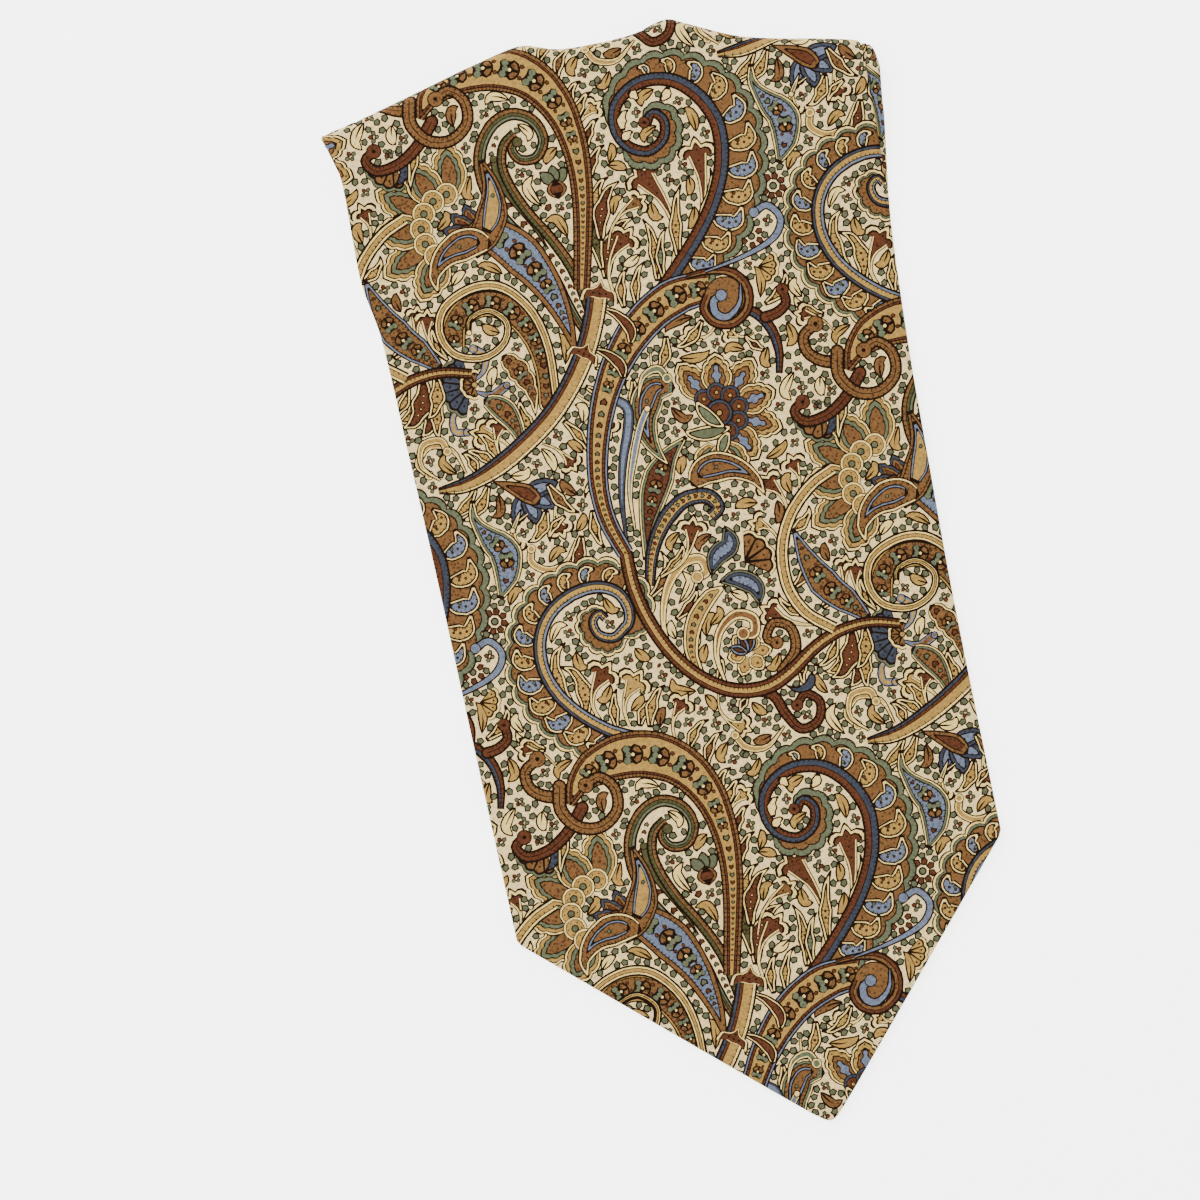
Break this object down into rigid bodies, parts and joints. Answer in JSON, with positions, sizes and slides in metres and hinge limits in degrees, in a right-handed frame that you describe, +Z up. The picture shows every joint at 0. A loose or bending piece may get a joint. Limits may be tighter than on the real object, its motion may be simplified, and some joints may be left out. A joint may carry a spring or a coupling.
{
  "type": "cotton cravat",
  "caption": "Pointed cotton day cravat with a printed paisley cloth, folded in half and laid flat with its neckband folded behind the blades.",
  "frame": {"origin": "centre of the footprint, on the surface the folded cravat lies on", "axes": "+Z up out of the front blade's face, +Y along the blade from its tip to the fold, +X across the blade to the wearer's left as seen from above with the tip towards the viewer"},
  "size_m": [0.1756, 0.3483, 0.0082],
  "materials": {
    "printed_cotton_face": "plain-woven cotton, paisley print in tan, gold, sage and slate on ecru, matt with a soft calendered sheen",
    "printed_cotton_back": "the same printed cotton, matt",
    "printed_cotton_rear": "the same printed cotton, matt",
    "printed_cotton_neckband": "the same printed cotton, matt"
  },
  "bodies": {
    "root": {"front_blade_face": "printed_cotton_face", "front_blade_back": "printed_cotton_back", "rear_blade": "printed_cotton_rear", "neckband": "printed_cotton_neckband"}
  },
  "joints": []
}
